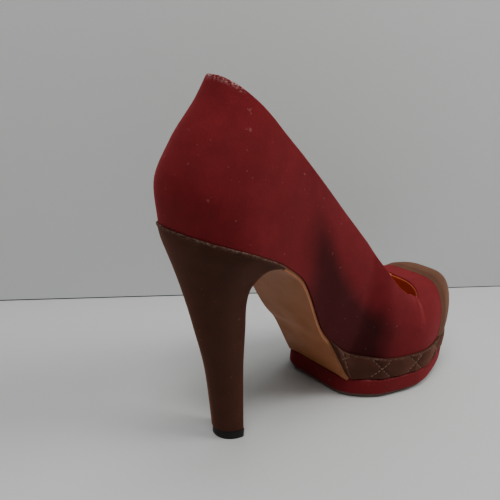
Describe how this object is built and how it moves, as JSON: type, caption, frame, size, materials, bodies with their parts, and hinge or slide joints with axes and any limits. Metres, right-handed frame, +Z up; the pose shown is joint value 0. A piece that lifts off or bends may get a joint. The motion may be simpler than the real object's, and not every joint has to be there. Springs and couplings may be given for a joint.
{
  "type": "platform pump",
  "caption": "Left platform pump with a high covered heel, closed upper, wrapped toe cap, quilted platform wedge, lower platform layer and thin soles.",
  "frame": {"origin": "on the floor, under the middle of the shoe's box", "axes": "+X toward the toe, +Y toward the outer side of the left foot, +Z up"},
  "size_m": [0.2188, 0.0732, 0.1744],
  "materials": {
    "burgundy_suede": "matt napped suede",
    "brown_suede": "matt napped suede",
    "orange_leather": "smooth lining leather",
    "tan_leather": "smooth sole leather",
    "dark_rubber": "matt"
  },
  "bodies": {
    "root": {"upper": "burgundy_suede", "toe_cap": "brown_suede", "insole": "orange_leather", "quilted_platform": "brown_suede", "platform": "burgundy_suede", "outsole": "tan_leather", "shank_sole": "tan_leather", "heel": "brown_suede", "heel_lift": "dark_rubber"}
  },
  "joints": []
}
